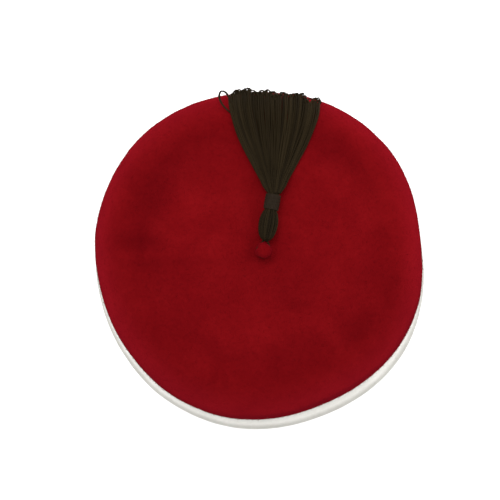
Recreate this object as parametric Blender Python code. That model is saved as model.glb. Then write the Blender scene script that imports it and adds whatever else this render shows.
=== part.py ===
"""A soft felt fez with a white inner band and a black cord tassel, standing on its rim.

Units are metres. +Z is up and the origin is on the surface that the cap stands on, at the middle
of the footprint. The tassel lies towards +Y, the wearer's back, and -Y is the front.
"""

import math
from collections import namedtuple

import bmesh
import bpy
from mathutils import Matrix, Vector

# The head opening and the three layers round it
HEAD_GIRTH = 0.560
BAND_THICKNESS = 0.0022
FELT_THICKNESS = 0.0026
SEAM_GAP = 0.0004

# The felt crown, in heights above the floor
HAT_HEIGHT = 0.0770
WIDEST_HEIGHT = 0.0240
HEM_HEIGHT = 0.0140
HEM_TUCK = 0.0008
SHOULDER_WIDTH = 0.0290
SHOULDER_POWER = 2.6
LEAN = 0.0030
LEAN_ANGLE = math.radians(127.0)

# The shallow ring pressed into the top, measured inwards from the crown's side
RING_INSET = 0.0300
RING_SPREAD = 0.0090
RING_DEPTH = 0.0024

# The white band: how far it runs up inside the felt, and the lip that it stands on
BAND_OVERLAP = 0.0220
LIP_RADIUS = 0.0982
LIP_EDGE = 0.0020
FLARE_POWER = 1.5

# The felt stalk at the middle of the top
STALK_RADIUS = 0.0043
STALK_WAIST = 0.0030
STALK_HEIGHT = 0.0090
STALK_SINK = 0.0012

# The tassel: a head, a bound neck and a skirt of cords that fan out over the shoulder
TASSEL_START = 0.0056
TASSEL_TURN = math.radians(-10.0)
HEAD_LENGTH = 0.0165
HEAD_RADIUS = 0.0054
TIP_RADIUS = 0.0021
NECK_LENGTH = 0.0095
NECK_RADIUS = 0.0036
SKIRT_TURN = math.radians(-0.5)
SKIRT_LENGTH = 0.0580
SKIRT_WIDTH = 0.0525
LOCK_COUNT = 13
LOCK_THICKNESS = 0.0026
LOCK_STACK = 0.0013
LOCK_BUNDLING = 0.8
BACKING_SKIN = 0.0006
BACKING_WIDTH_SHARE = 0.96
LOCK_STEPS = 10
LOCK_LENGTHS = (1.0, 0.96, 0.99, 0.95)
CORD_BEND_RADIUS = 0.0130
BINDING_WIRE = 0.0008
LOOP_DIAMETER = 0.0014

# Moves the hat so that the middle of its footprint, not its stalk, is over the origin
FOOTPRINT_SHIFT = 0.0015

# Clearances between pieces that touch
REST_GAP = 0.0005
FIT_GAP = 0.0003

# Facets
SEGMENTS = 64
TOP_RINGS = 11
SHOULDER_RINGS = 8
WALL_RINGS = 2
FLARE_RINGS = 4

# Sizes that follow
CROWN_RADIUS = HEAD_GIRTH / (2 * math.pi) + BAND_THICKNESS + SEAM_GAP + FELT_THICKNESS + HEM_TUCK
FLAT_RADIUS = CROWN_RADIUS - SHOULDER_WIDTH
SHOULDER_RISE = HAT_HEIGHT - WIDEST_HEIGHT
LOCK_END_WIDTH = SKIRT_WIDTH / LOCK_COUNT * 0.72
BINDING_RADIUS = NECK_RADIUS + FIT_GAP + BINDING_WIRE
AXIS_LIFT = max(HEAD_RADIUS, BINDING_RADIUS) + REST_GAP

# Flats pressed into the round side, their angles from +X towards +Y. depth is a share of
# CROWN_RADIUS in the felt, lip_depth a share of LIP_RADIUS at the foot of the white band.
Dent = namedtuple("Dent", "name angle_deg spread_deg depth lip_depth")
DENTS = (
    Dent("right", 9, 21, 0.037, 0.045),
    Dent("right_front", 345, 14, 0.0, 0.010),
    Dent("back", 92, 27, 0.031, 0.010),
    Dent("left", 203, 28, 0.026, 0.010),
    Dent("front", 291, 24, 0.028, 0.022),
)

# Ridges left by folding the cap flat. rise, spread and offset are shares of CROWN_RADIUS. A half
# ridge runs from the stalk outwards in its direction only.
Fold = namedtuple("Fold", "name angle_deg offset rise spread half")
FOLDS = (
    Fold("across", 1, -0.05, 0.011, 0.11, False),
    Fold("to_front", -97, 0.0, 0.008, 0.10, True),
)

# The stalk's outline from its foot up. radius and height are shares of the size named in its row.
StalkRow = namedtuple("StalkRow", "size radius height")
STALK_ROWS = (
    StalkRow(STALK_RADIUS, 1.30, 0.00),
    StalkRow(STALK_RADIUS, 0.92, 0.22),
    StalkRow(STALK_WAIST, 1.00, 0.42),
    StalkRow(STALK_WAIST, 1.00, 0.58),
    StalkRow(STALK_RADIUS, 0.95, 0.74),
    StalkRow(STALK_RADIUS, 1.00, 0.84),
    StalkRow(STALK_RADIUS, 0.72, 0.96),
)

# The tassel's head and neck along their axis. along is a share of HEAD_LENGTH.
HeadRow = namedtuple("HeadRow", "along size radius")
HEAD_ROWS = (
    HeadRow(0.00, TIP_RADIUS, 1.00),
    HeadRow(0.12, HEAD_RADIUS, 0.62),
    HeadRow(0.30, HEAD_RADIUS, 0.90),
    HeadRow(0.52, HEAD_RADIUS, 1.00),
    HeadRow(0.76, HEAD_RADIUS, 0.93),
    HeadRow(0.93, HEAD_RADIUS, 0.76),
    HeadRow(1.00, NECK_RADIUS, 1.00),
)


def fade(value, start, end):
    """A smooth step, 0 at start and 1 at end."""
    share = min(1.0, max(0.0, (value - start) / (end - start)))
    return share * share * (3.0 - 2.0 * share)


def bump(distance, spread):
    """A smooth hill, 1 at its middle."""
    return math.exp(-((distance / spread) ** 2))


def dent_bump(dent, angle):
    turn = math.remainder(angle - math.radians(dent.angle_deg), 2 * math.pi)
    return bump(turn, math.radians(dent.spread_deg))


def side_share(angle):
    """The crown's radius in this direction, as a share of CROWN_RADIUS."""
    lean = LEAN / CROWN_RADIUS * math.cos(angle - LEAN_ANGLE)
    return 1.0 + lean - sum(dent.depth * dent_bump(dent, angle) for dent in DENTS)


def lip_share(angle):
    """The lip's radius in this direction, as a share of LIP_RADIUS."""
    return 1.0 - sum(dent.lip_depth * dent_bump(dent, angle) for dent in DENTS)


def fold_rise(x, y):
    """How far the fold ridges lift the felt at a point of the plan."""
    rise = 0.0
    for fold in FOLDS:
        along = Vector((math.cos(math.radians(fold.angle_deg)), math.sin(math.radians(fold.angle_deg))))
        across = along.x * y - along.y * x - fold.offset * CROWN_RADIUS
        ridge = fold.rise * CROWN_RADIUS * bump(across, fold.spread * CROWN_RADIUS)
        if fold.half:
            ridge *= fade(along.x * x + along.y * y, 0.0, FLAT_RADIUS / 2)
        rise += ridge
    return rise


def crown_height(x, y):
    """The height of the felt's upper surface over a point of the plan, the stalk left out."""
    radius = math.hypot(x, y) / side_share(math.atan2(y, x))
    across = min(1.0, max(0.0, (radius - FLAT_RADIUS) / SHOULDER_WIDTH))
    round_share = max(0.0, 1.0 - across**SHOULDER_POWER) ** (1.0 / SHOULDER_POWER)
    height = WIDEST_HEIGHT + SHOULDER_RISE * round_share
    height -= RING_DEPTH * bump(radius - (CROWN_RADIUS - RING_INSET), RING_SPREAD)
    return height + fold_rise(x, y) * (1.0 - fade(radius, FLAT_RADIUS, CROWN_RADIUS))


def resting_height(x, y, clearance):
    """The height at which something round of this radius rests on the felt over a point."""
    step = CROWN_RADIUS * 0.01
    slope_x = (crown_height(x + step, y) - crown_height(x - step, y)) / (2 * step)
    slope_y = (crown_height(x, y + step) - crown_height(x, y - step)) / (2 * step)
    return crown_height(x, y) + clearance * math.sqrt(1.0 + slope_x**2 + slope_y**2)


def wall_radius(height):
    """The crown's outer radius at a height on its side, before the dents."""
    if height > WIDEST_HEIGHT:
        up = min(1.0, (height - WIDEST_HEIGHT) / SHOULDER_RISE)
        return FLAT_RADIUS + SHOULDER_WIDTH * (1.0 - up**SHOULDER_POWER) ** (1.0 / SHOULDER_POWER)
    down = (WIDEST_HEIGHT - height) / (WIDEST_HEIGHT - HEM_HEIGHT)
    return CROWN_RADIUS - HEM_TUCK * min(1.0, down) ** 2


def plan_point(angle, radius, height):
    return Vector((radius * math.cos(angle), radius * math.sin(angle), height))


def turn_angles(count):
    return [2 * math.pi * n / count for n in range(count)]


def material(name, colour, roughness, sheen):
    made = bpy.data.materials.new(name)
    made.use_nodes = True
    shader = made.node_tree.nodes["Principled BSDF"]
    shader.inputs["Base Color"].default_value = (*colour, 1.0)
    shader.inputs["Roughness"].default_value = roughness
    shader.inputs["Metallic"].default_value = 0.0
    shader.inputs["Sheen Weight"].default_value = sheen
    return made


def object_from(name, mesh_maker, surface):
    """A smooth-shaded object from a bmesh, with its normals made to agree."""
    bmesh.ops.recalc_face_normals(mesh_maker, faces=mesh_maker.faces)
    mesh = bpy.data.meshes.new(name)
    mesh_maker.to_mesh(mesh)
    mesh_maker.free()
    mesh.materials.append(surface)
    mesh.shade_smooth()
    mesh.set_sharp_from_angle(angle=math.radians(40))
    made = bpy.data.objects.new(name, mesh)
    bpy.context.scene.collection.objects.link(made)
    return made


def add_ring(mesh_maker, points):
    return [mesh_maker.verts.new(point) for point in points]


def bridge(mesh_maker, first, second):
    """Quads between two rings of the same length."""
    for n in range(len(first)):
        after = (n + 1) % len(first)
        mesh_maker.faces.new((first[n], first[after], second[after], second[n]))


def lofted(name, rings, surface, ends=True):
    """A closed body through rings of points: capped at both ends, or joined into a hoop."""
    mesh_maker = bmesh.new()
    made = [add_ring(mesh_maker, ring) for ring in rings]
    for first, second in zip(made, made[1:]):
        bridge(mesh_maker, first, second)
    if ends:
        mesh_maker.faces.new(made[0])
        mesh_maker.faces.new(made[-1])
    else:
        bridge(mesh_maker, made[-1], made[0])
    return object_from(name, mesh_maker, surface)


def boolean(target, operation, others):
    for number, other in enumerate(others):
        other.hide_render = True
        other.display_type = "WIRE"
        step = target.modifiers.new(f"{operation.lower()}_{number}", "BOOLEAN")
        step.operation = operation
        step.solver = "MANIFOLD"
        step.object = other
    return target


def crown_rings():
    """The felt's outer surface, as rings from near its middle down to the hem."""
    radii = [FLAT_RADIUS * (n / TOP_RINGS) for n in range(1, TOP_RINGS + 1)]
    for n in range(1, SHOULDER_RINGS + 1):
        turn = math.pi / 2 * n / SHOULDER_RINGS
        radii.append(FLAT_RADIUS + SHOULDER_WIDTH * math.sin(turn) ** (2.0 / SHOULDER_POWER))
    rings = []
    for radius in radii:
        plan = [plan_point(angle, radius * side_share(angle), 0.0) for angle in turn_angles(SEGMENTS)]
        rings.append([Vector((p.x, p.y, crown_height(p.x, p.y))) for p in plan])
    for n in range(1, WALL_RINGS + 1):
        height = WIDEST_HEIGHT + (HEM_HEIGHT - WIDEST_HEIGHT) * n / WALL_RINGS
        rings.append(
            [
                plan_point(angle, wall_radius(height) * side_share(angle), height)
                for angle in turn_angles(SEGMENTS)
            ]
        )
    return rings


def make_stalk(surface):
    """The felt stalk, a mushroom with a waist for the tassel's loop, sunk into the crown."""
    foot = crown_height(0.0, 0.0) - STALK_SINK
    full_height = STALK_HEIGHT + STALK_SINK
    rings = []
    for row in STALK_ROWS:
        height = foot + row.height * full_height
        rings.append([plan_point(a, row.size * row.radius, height) for a in turn_angles(SEGMENTS // 4)])
    top = foot + full_height
    rings.append([plan_point(a, STALK_RADIUS * 0.3, top) for a in turn_angles(SEGMENTS // 4)])
    return lofted("stalk_blank", rings, surface)


def make_crown(surface):
    """One felted shell with its stalk: a sheet over the outer surface, thickened inwards."""
    mesh_maker = bmesh.new()
    pole = mesh_maker.verts.new((0.0, 0.0, crown_height(0.0, 0.0)))
    rings = [add_ring(mesh_maker, ring) for ring in crown_rings()]
    for n in range(SEGMENTS):
        mesh_maker.faces.new((pole, rings[0][n], rings[0][(n + 1) % SEGMENTS]))
    for first, second in zip(rings, rings[1:]):
        bridge(mesh_maker, second, first)
    crown = object_from("crown", mesh_maker, surface)
    shell = crown.modifiers.new("felt", "SOLIDIFY")
    shell.thickness = FELT_THICKNESS
    shell.offset = -1.0
    shell.use_even_offset = True
    return boolean(crown, "UNION", [make_stalk(surface)])


def band_radius(angle, height):
    """The band's outer radius: inside the felt above the hem, and flared to the lip below it."""
    inside = HEM_HEIGHT if height < HEM_HEIGHT else height
    tucked = wall_radius(inside) * side_share(angle) - FELT_THICKNESS - SEAM_GAP
    below = min(1.0, max(0.0, (HEM_HEIGHT - height) / (HEM_HEIGHT - LIP_EDGE)))
    flare = below**FLARE_POWER
    return tucked + (LIP_RADIUS * lip_share(angle) - tucked) * flare


def make_band(surface):
    """The white band, one hoop: upright against the felt, then flared to a flat-footed lip."""
    band_top = HEM_HEIGHT + BAND_OVERLAP
    heights = [band_top, (band_top + HEM_HEIGHT) / 2]
    heights += [HEM_HEIGHT + (LIP_EDGE - HEM_HEIGHT) * n / FLARE_RINGS for n in range(FLARE_RINGS + 1)]
    heights.append(0.0)
    angles = turn_angles(SEGMENTS)
    outer = [[plan_point(a, band_radius(a, h), h) for a in angles] for h in heights]
    inner = []
    for height in reversed(heights):
        ring = []
        for angle in angles:
            rise = (LIP_EDGE + HEM_HEIGHT) * 0.01
            upper = max(height, LIP_EDGE) + rise
            slope = (band_radius(angle, upper) - band_radius(angle, upper - rise)) / rise
            width = BAND_THICKNESS * math.hypot(1.0, slope)
            ring.append(plan_point(angle, band_radius(angle, height) - width, height))
        inner.append(ring)
    return lofted("inner_band", outer + inner, surface, ends=False)


def tassel_axis(distance):
    """A point on the tassel's middle line at a plan distance from the stalk, at its resting height."""
    neck_end = TASSEL_START + HEAD_LENGTH + NECK_LENGTH
    straight = Vector((0.0, min(distance, neck_end), 0.0))
    past = Vector((0.0, max(0.0, distance - neck_end), 0.0))
    point = Matrix.Rotation(TASSEL_TURN, 3, "Z") @ straight + Matrix.Rotation(SKIRT_TURN, 3, "Z") @ past
    return Vector((point.x, point.y, crown_height(0.0, 0.0) + AXIS_LIFT))


def oval(centre, half_width, half_height, count):
    """A ring of points round a centre, spanned by two half axes."""
    return [centre + half_width * math.cos(a) + half_height * math.sin(a) for a in turn_angles(count)]


def ring_across(centre, radius):
    """A round ring of points square to the tassel's head."""
    side = Matrix.Rotation(TASSEL_TURN, 3, "Z") @ Vector((radius, 0.0, 0.0))
    return oval(centre, side, Vector((0.0, 0.0, radius)), 16)


def make_tassel_head(surface):
    """The folded bundle of cords: the head, and the neck that the binding goes round."""
    rings = []
    for row in HEAD_ROWS:
        centre = tassel_axis(TASSEL_START + row.along * HEAD_LENGTH)
        radius = row.size * row.radius
        rings.append(ring_across(centre, radius))
    neck_end = tassel_axis(TASSEL_START + HEAD_LENGTH + NECK_LENGTH)
    rings.append(ring_across(neck_end, NECK_RADIUS))
    return lofted("tassel", rings, surface)


def laid_heights(plan, start, clearance):
    """Heights of a limp cord along its plan: it falls as fast as it can bend and rests on the felt."""
    heights = [start, start]
    for before, point in zip(plan[1:], plan[2:]):
        step = (point - before).length
        falling = 2 * heights[-1] - heights[-2] - step * step / CORD_BEND_RADIUS
        heights.append(max(falling, resting_height(point.x, point.y, clearance)))
    return heights


def lock_path(side, upper, length_share=1.0):
    """The middle line of a lock of the skirt. side runs from -1 to 1 across the fan."""
    neck_end = TASSEL_START + HEAD_LENGTH + NECK_LENGTH
    bundle = (NECK_RADIUS - LOCK_THICKNESS / 2) * LOCK_BUNDLING
    turn = Matrix.Rotation(SKIRT_TURN, 3, "Z")
    plan = []
    for n in range(LOCK_STEPS + 1):
        along = n / LOCK_STEPS
        spread = math.sin(math.pi / 2 * along) ** 1.1
        across = side * (bundle + (SKIRT_WIDTH / 2 - LOCK_END_WIDTH - bundle) * spread)
        centre = tassel_axis(neck_end + along * SKIRT_LENGTH * length_share)
        plan.append(centre + turn @ Vector((across, 0.0, 0.0)))
    offset = math.sqrt(1.0 - side * side) * bundle
    start = plan[0].z + (offset if upper else -offset)
    clearance = REST_GAP + LOCK_THICKNESS / 2 + (LOCK_STACK if upper else 0.0)
    heights = laid_heights(plan, start, clearance)
    return [Vector((point.x, point.y, height)) for point, height in zip(plan, heights)]


def make_lock(number, surface):
    """One lock of the skirt, from inside the neck to its own rounded end past the shoulder."""
    side = 2.0 * number / (LOCK_COUNT - 1) - 1.0
    path = lock_path(side, number % 2 == 1, LOCK_LENGTHS[number % len(LOCK_LENGTHS)])
    half = LOCK_THICKNESS / 2
    across = Matrix.Rotation(SKIRT_TURN, 3, "Z") @ Vector((1.0, 0.0, 0.0))
    inside = path[0] - (path[1] - path[0]).normalized() * NECK_LENGTH * 0.4
    tip = path[-1] + (path[-1] - path[-2]).normalized() * half
    points = [inside] + path + [tip]
    rings = []
    for n, point in enumerate(points):
        before, after = points[max(0, n - 1)], points[min(len(points) - 1, n + 1)]
        up = across.cross((after - before).normalized()).normalized()
        along = min(1.0, max(0.0, (n - 1) / LOCK_STEPS))
        width = half + (LOCK_END_WIDTH - half) * along
        share = 0.5 if n == len(points) - 1 else 1.0
        rings.append(oval(point, across * (width * share), up * (half * share), 7))
    return lofted(f"lock_{number}", rings, surface)


def make_backing(surface):
    """The cords between the locks: a thin fan through the middle of the upper and lower locks."""
    sides = [2.0 * n / (LOCK_COUNT - 1) - 1.0 for n in range(LOCK_COUNT)]
    skin = Vector((0.0, 0.0, BACKING_SKIN))
    top = [[point + skin for point in lock_path(side * BACKING_WIDTH_SHARE, True)] for side in sides]
    bottom = [[point - skin for point in lock_path(side * BACKING_WIDTH_SHARE, False)] for side in sides]
    inside = Vector((0.0, NECK_LENGTH * 0.3, 0.0))
    rings = [[path[0] - inside for path in top] + [path[0] - inside for path in reversed(bottom)]]
    for n in range(LOCK_STEPS - 1):
        rings.append([path[n] for path in top] + [path[n] for path in reversed(bottom)])
    return lofted("backing", rings, surface)


def make_tassel(surface):
    """The head and neck with the locks of the skirt fused to them."""
    skirt = [make_backing(surface)]
    skirt += [make_lock(number, surface) for number in range(LOCK_COUNT)]
    return boolean(make_tassel_head(surface), "UNION", skirt)


def make_binding(surface):
    """The wound thread round the neck: one ribbed sleeve, a rib for each turn."""
    turns = max(2, round(NECK_LENGTH * 0.86 / (2 * BINDING_WIRE)) * 2)
    first = TASSEL_START + HEAD_LENGTH + NECK_LENGTH * 0.07
    pitch = NECK_LENGTH * 0.86 / turns
    inner = NECK_RADIUS + FIT_GAP
    stations = [(first, inner)]
    for n in range(turns):
        stations.append((first + pitch * (n + 0.08), BINDING_RADIUS - BINDING_WIRE * 0.35))
        stations.append((first + pitch * (n + 0.5), BINDING_RADIUS))
    last = first + pitch * turns
    stations.append((last, BINDING_RADIUS - BINDING_WIRE * 0.35))
    stations.append((last, inner))
    rings = [ring_across(tassel_axis(along), radius) for along, radius in stations]
    return lofted("neck_binding", rings, surface, ends=False)


def make_loop(surface):
    """The cord that ties the tassel on: from the head's tip, round the stalk's waist and back."""
    radius = LOOP_DIAMETER / 2
    waist = crown_height(0.0, 0.0) - STALK_SINK + (STALK_HEIGHT + STALK_SINK) * 0.5
    round_waist = STALK_WAIST + FIT_GAP + radius
    leg = radius + FIT_GAP / 2
    end = tassel_axis(TASSEL_START - FIT_GAP)
    bend = tassel_axis(TASSEL_START - FIT_GAP - LOOP_DIAMETER * 0.4)
    side = Matrix.Rotation(TASSEL_TURN, 3, "Z") @ Vector((1.0, 0.0, 0.0))
    sweep = math.radians(245)
    start = math.pi / 2 + TASSEL_TURN + (2 * math.pi - sweep) / 2
    points = [end - side * leg, bend - side * leg]
    for n in range(17):
        points.append(plan_point(start + sweep * n / 16, round_waist, waist))
    points += [bend + side * leg, end + side * leg]
    curve = bpy.data.curves.new("tassel_loop", "CURVE")
    curve.dimensions = "3D"
    curve.bevel_depth = radius
    curve.bevel_resolution = 2
    curve.use_fill_caps = True
    spline = curve.splines.new("POLY")
    spline.points.add(len(points) - 1)
    for spot, point in zip(spline.points, points):
        spot.co = (*point, 1.0)
    curve.materials.append(surface)
    made = bpy.data.objects.new("tassel_loop", curve)
    bpy.context.scene.collection.objects.link(made)
    return made


def main():
    for existing in list(bpy.data.objects):
        bpy.data.objects.remove(existing)
    red_felt = material("red_felt", (0.195, 0.004, 0.007), 0.95, 0.6)
    white_felt = material("white_felt", (0.80, 0.78, 0.72), 0.9, 0.3)
    black_cord = material("black_cord", (0.020, 0.012, 0.007), 0.7, 0.3)
    binding_thread = material("binding_thread", (0.030, 0.020, 0.016), 0.45, 0.1)
    make_crown(red_felt)
    make_band(white_felt)
    make_tassel(black_cord)
    make_binding(binding_thread)
    make_loop(black_cord)
    for made in bpy.data.objects:
        made.location.x += FOOTPRINT_SHIFT


main()
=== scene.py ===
"""Looks of a soft felt fez with a white inner band and a black cord tassel.

Every shape follows the same named sizes as the solids. Lengths are in metres, +Z is up, and the
tassel lies towards +Y.
"""

import math
import random
from collections import namedtuple

import bpy
import numpy as np
from mathutils import Matrix, Vector, noise

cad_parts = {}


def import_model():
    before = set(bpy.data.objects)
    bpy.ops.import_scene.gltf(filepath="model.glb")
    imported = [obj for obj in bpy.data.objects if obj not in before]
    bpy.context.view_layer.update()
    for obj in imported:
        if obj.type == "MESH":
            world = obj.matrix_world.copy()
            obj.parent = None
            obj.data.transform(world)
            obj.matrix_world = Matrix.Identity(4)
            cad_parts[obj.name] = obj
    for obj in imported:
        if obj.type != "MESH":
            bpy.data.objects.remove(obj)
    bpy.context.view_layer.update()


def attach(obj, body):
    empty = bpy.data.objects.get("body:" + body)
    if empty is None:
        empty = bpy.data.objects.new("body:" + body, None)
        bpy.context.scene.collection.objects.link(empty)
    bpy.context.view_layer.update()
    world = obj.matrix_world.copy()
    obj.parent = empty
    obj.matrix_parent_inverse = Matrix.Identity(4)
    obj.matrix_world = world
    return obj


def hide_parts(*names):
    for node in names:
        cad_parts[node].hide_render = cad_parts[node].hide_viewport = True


# Sizes of the solids
HEAD_GIRTH = 0.560
BAND_THICKNESS = 0.0022
FELT_THICKNESS = 0.0026
SEAM_GAP = 0.0004
HAT_HEIGHT = 0.0770
WIDEST_HEIGHT = 0.0240
HEM_HEIGHT = 0.0140
HEM_TUCK = 0.0008
SHOULDER_WIDTH = 0.0290
SHOULDER_POWER = 2.6
LEAN = 0.0030
LEAN_ANGLE = math.radians(127.0)
RING_INSET = 0.0300
RING_SPREAD = 0.0090
RING_DEPTH = 0.0024
BAND_OVERLAP = 0.0220
LIP_RADIUS = 0.0982
LIP_EDGE = 0.0020
FLARE_POWER = 1.5
STALK_RADIUS = 0.0043
STALK_WAIST = 0.0030
STALK_HEIGHT = 0.0090
TASSEL_START = 0.0056
TASSEL_TURN = math.radians(-10.0)
HEAD_LENGTH = 0.0165
HEAD_RADIUS = 0.0054
TIP_RADIUS = 0.0021
NECK_LENGTH = 0.0095
NECK_RADIUS = 0.0036
SKIRT_TURN = math.radians(-0.5)
SKIRT_LENGTH = 0.0580
SKIRT_WIDTH = 0.0525
CORD_BEND_RADIUS = 0.0130
REST_GAP = 0.0005
FOOTPRINT_SHIFT = 0.0015
CROWN_RADIUS = HEAD_GIRTH / (2 * math.pi) + BAND_THICKNESS + SEAM_GAP + FELT_THICKNESS + HEM_TUCK
FLAT_RADIUS = CROWN_RADIUS - SHOULDER_WIDTH
SHOULDER_RISE = HAT_HEIGHT - WIDEST_HEIGHT
AXIS_LIFT = HEAD_RADIUS + REST_GAP

# Sizes that only the looks have
STALK_LUMPS = 0.26
DIMPLE_DEPTH = 0.0005
DIMPLE_SPREAD = 0.0062
# The side towards which the crown's lower wall and rim are painted darker, as painted shade
SHADED_SIDE_ANGLE = math.radians(-62.0)
FAN_POWER = 1.34
FAN_SKEW = 0.05
FAN_SHARE = 0.955
NECK_SPILL = 0.55
CORD_RADIUS = 0.00050
CORD_PITCH = 0.0026
TIE_RADIUS = 0.00062
THREAD_RADIUS = 0.00030
NAP_DENSITY = 300000.0
NAP_LENGTHS = (0.0016, 0.0010)
NAP_PART_HEIGHT = 0.0700
LOOP_COUNT = 84
HEAD_CORDS = 40
SKIRT_PIECES = 3
TUFT_REACH = 0.0012
STRAY_LENGTH = 0.0130
STRAY_STEPS = 21
STRAY_LIFT = 0.0032

# The camera and the light
FRAME_PIXELS = 500
CAMERA_DISTANCE = 1.10
CAMERA_TILT = math.radians(5.0)
FOCAL_PIXELS = 1872.0
CAMERA_AIM = Vector((-0.0059, 0.0075, 0.0))

Dent = namedtuple("Dent", "angle_deg spread_deg depth lip_depth")
DENTS = (
    Dent(9, 21, 0.037, 0.045),
    Dent(345, 14, 0.0, 0.010),
    Dent(92, 27, 0.031, 0.010),
    Dent(203, 28, 0.026, 0.010),
    Dent(291, 24, 0.028, 0.022),
)

Fold = namedtuple("Fold", "angle_deg offset rise spread half")
FOLDS = (
    Fold(1, -0.05, 0.011, 0.11, False),
    Fold(-97, 0.0, 0.008, 0.10, True),
)

# Patches of painted shade, where dark is above 0, and of painted light, where it is below 0, on the crown: shares of
# CROWN_RADIUS
PaintedShadePatch = namedtuple("PaintedShadePatch", "x y turn_deg length width dark")
PAINTED_SHADE_PATCHES = (
    PaintedShadePatch(-0.70, 0.06, -3, 0.17, 0.055, 0.20),
    PaintedShadePatch(-0.63, 0.36, 62, 0.26, 0.11, 0.13),
    PaintedShadePatch(-0.33, 0.20, 8, 0.20, 0.16, -0.20),
    PaintedShadePatch(-0.42, -0.06, 1, 0.36, 0.028, 0.11),
    PaintedShadePatch(0.76, -0.18, 80, 0.16, 0.07, 0.20),
    PaintedShadePatch(0.60, -0.43, 40, 0.17, 0.08, 0.16),
    PaintedShadePatch(0.14, -0.26, -35, 0.16, 0.09, 0.16),
    PaintedShadePatch(0.12, -0.66, 85, 0.22, 0.15, 0.06),
    PaintedShadePatch(0.36, 0.66, -60, 0.20, 0.10, 0.12),
    PaintedShadePatch(0.42, 0.22, 15, 0.26, 0.22, -0.16),
    PaintedShadePatch(0.82, 0.20, 80, 0.50, 0.10, -0.20),
    PaintedShadePatch(0.10, -0.92, 0, 0.60, 0.08, -0.08),
)

# The stalk from the middle of its top down to the felt, radius and height as shares of its own
StalkRow = namedtuple("StalkRow", "radius height")
STALK_ROWS = (
    StalkRow(0.00, 0.985),
    StalkRow(0.30, 1.000),
    StalkRow(0.62, 0.975),
    StalkRow(0.88, 0.890),
    StalkRow(1.00, 0.780),
    StalkRow(0.97, 0.680),
    StalkRow(0.80, 0.570),
    StalkRow(0.71, 0.470),
    StalkRow(0.70, 0.360),
    StalkRow(0.76, 0.240),
    StalkRow(0.92, 0.120),
    StalkRow(1.20, 0.030),
)

# Where the skirt's loops end, from the fan's left side, -1, to its right side, 1
FringeRow = namedtuple("FringeRow", "side reach")
FRINGE_ROWS = (
    FringeRow(-1.00, -0.0030),
    FringeRow(-0.90, -0.0006),
    FringeRow(-0.70, 0.0006),
    FringeRow(-0.56, 0.0008),
    FringeRow(-0.42, -0.0022),
    FringeRow(-0.16, -0.0016),
    FringeRow(0.05, -0.0038),
    FringeRow(0.22, -0.0022),
    FringeRow(0.34, -0.0038),
    FringeRow(0.46, -0.0018),
    FringeRow(0.60, -0.0024),
    FringeRow(0.72, -0.0050),
    FringeRow(0.86, -0.0054),
    FringeRow(1.00, -0.0062),
)

# The stray loop, from where it leaves the fan's edge: shares of STRAY_LENGTH
StrayRow = namedtuple("StrayRow", "forward left")
STRAY_ROWS = (
    StrayRow(0.00, 0.00),
    StrayRow(0.20, 0.17),
    StrayRow(0.50, 0.34),
    StrayRow(0.86, 0.39),
    StrayRow(1.10, 0.27),
    StrayRow(1.06, 0.08),
    StrayRow(0.76, -0.03),
    StrayRow(0.36, -0.15),
    StrayRow(0.00, -0.18),
)

HeadRow = namedtuple("HeadRow", "along radius")
HEAD_ROWS = (
    HeadRow(-0.03, 0.14),
    HeadRow(0.03, 0.46),
    HeadRow(0.12, 0.72),
    HeadRow(0.28, 0.90),
    HeadRow(0.50, 1.00),
    HeadRow(0.74, 0.95),
    HeadRow(0.92, 0.78),
    HeadRow(1.02, 0.66),
    HeadRow(1.60, 0.62),
)


# The hat's surfaces


def fade(value, start, end):
    """A smooth step, 0 at start and 1 at end."""
    share = min(1.0, max(0.0, (value - start) / (end - start)))
    return share * share * (3.0 - 2.0 * share)


def bump(distance, spread):
    """A smooth hill, 1 at its middle."""
    return math.exp(-((distance / spread) ** 2))


def dent_bump(dent, angle):
    turn = math.remainder(angle - math.radians(dent.angle_deg), 2 * math.pi)
    return bump(turn, math.radians(dent.spread_deg))


def side_share(angle):
    """The crown's radius in this direction, as a share of CROWN_RADIUS."""
    lean = LEAN / CROWN_RADIUS * math.cos(angle - LEAN_ANGLE)
    return 1.0 + lean - sum(dent.depth * dent_bump(dent, angle) for dent in DENTS)


def lip_share(angle):
    """The lip's radius in this direction, as a share of LIP_RADIUS."""
    return 1.0 - sum(dent.lip_depth * dent_bump(dent, angle) for dent in DENTS)


def fold_rise(x, y):
    """How far the fold ridges lift the felt at a point of the plan."""
    rise = 0.0
    for fold in FOLDS:
        along = Vector((math.cos(math.radians(fold.angle_deg)), math.sin(math.radians(fold.angle_deg))))
        across = along.x * y - along.y * x - fold.offset * CROWN_RADIUS
        ridge = fold.rise * CROWN_RADIUS * bump(across, fold.spread * CROWN_RADIUS)
        if fold.half:
            ridge *= fade(along.x * x + along.y * y, 0.0, FLAT_RADIUS / 2)
        rise += ridge
    return rise


def crown_height(x, y):
    """The height of the felt's upper surface over a point of the plan, the stalk left out."""
    radius = math.hypot(x, y) / side_share(math.atan2(y, x))
    across = min(1.0, max(0.0, (radius - FLAT_RADIUS) / SHOULDER_WIDTH))
    round_share = max(0.0, 1.0 - across**SHOULDER_POWER) ** (1.0 / SHOULDER_POWER)
    height = WIDEST_HEIGHT + SHOULDER_RISE * round_share
    height -= RING_DEPTH * bump(radius - (CROWN_RADIUS - RING_INSET), RING_SPREAD)
    return height + fold_rise(x, y) * (1.0 - fade(radius, FLAT_RADIUS, CROWN_RADIUS))


def resting_height(x, y, clearance):
    """The height at which something round of this radius rests on the felt over a point."""
    step = CROWN_RADIUS * 0.01
    slope_x = (crown_height(x + step, y) - crown_height(x - step, y)) / (2 * step)
    slope_y = (crown_height(x, y + step) - crown_height(x, y - step)) / (2 * step)
    return crown_height(x, y) + clearance * math.sqrt(1.0 + slope_x**2 + slope_y**2)


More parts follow.
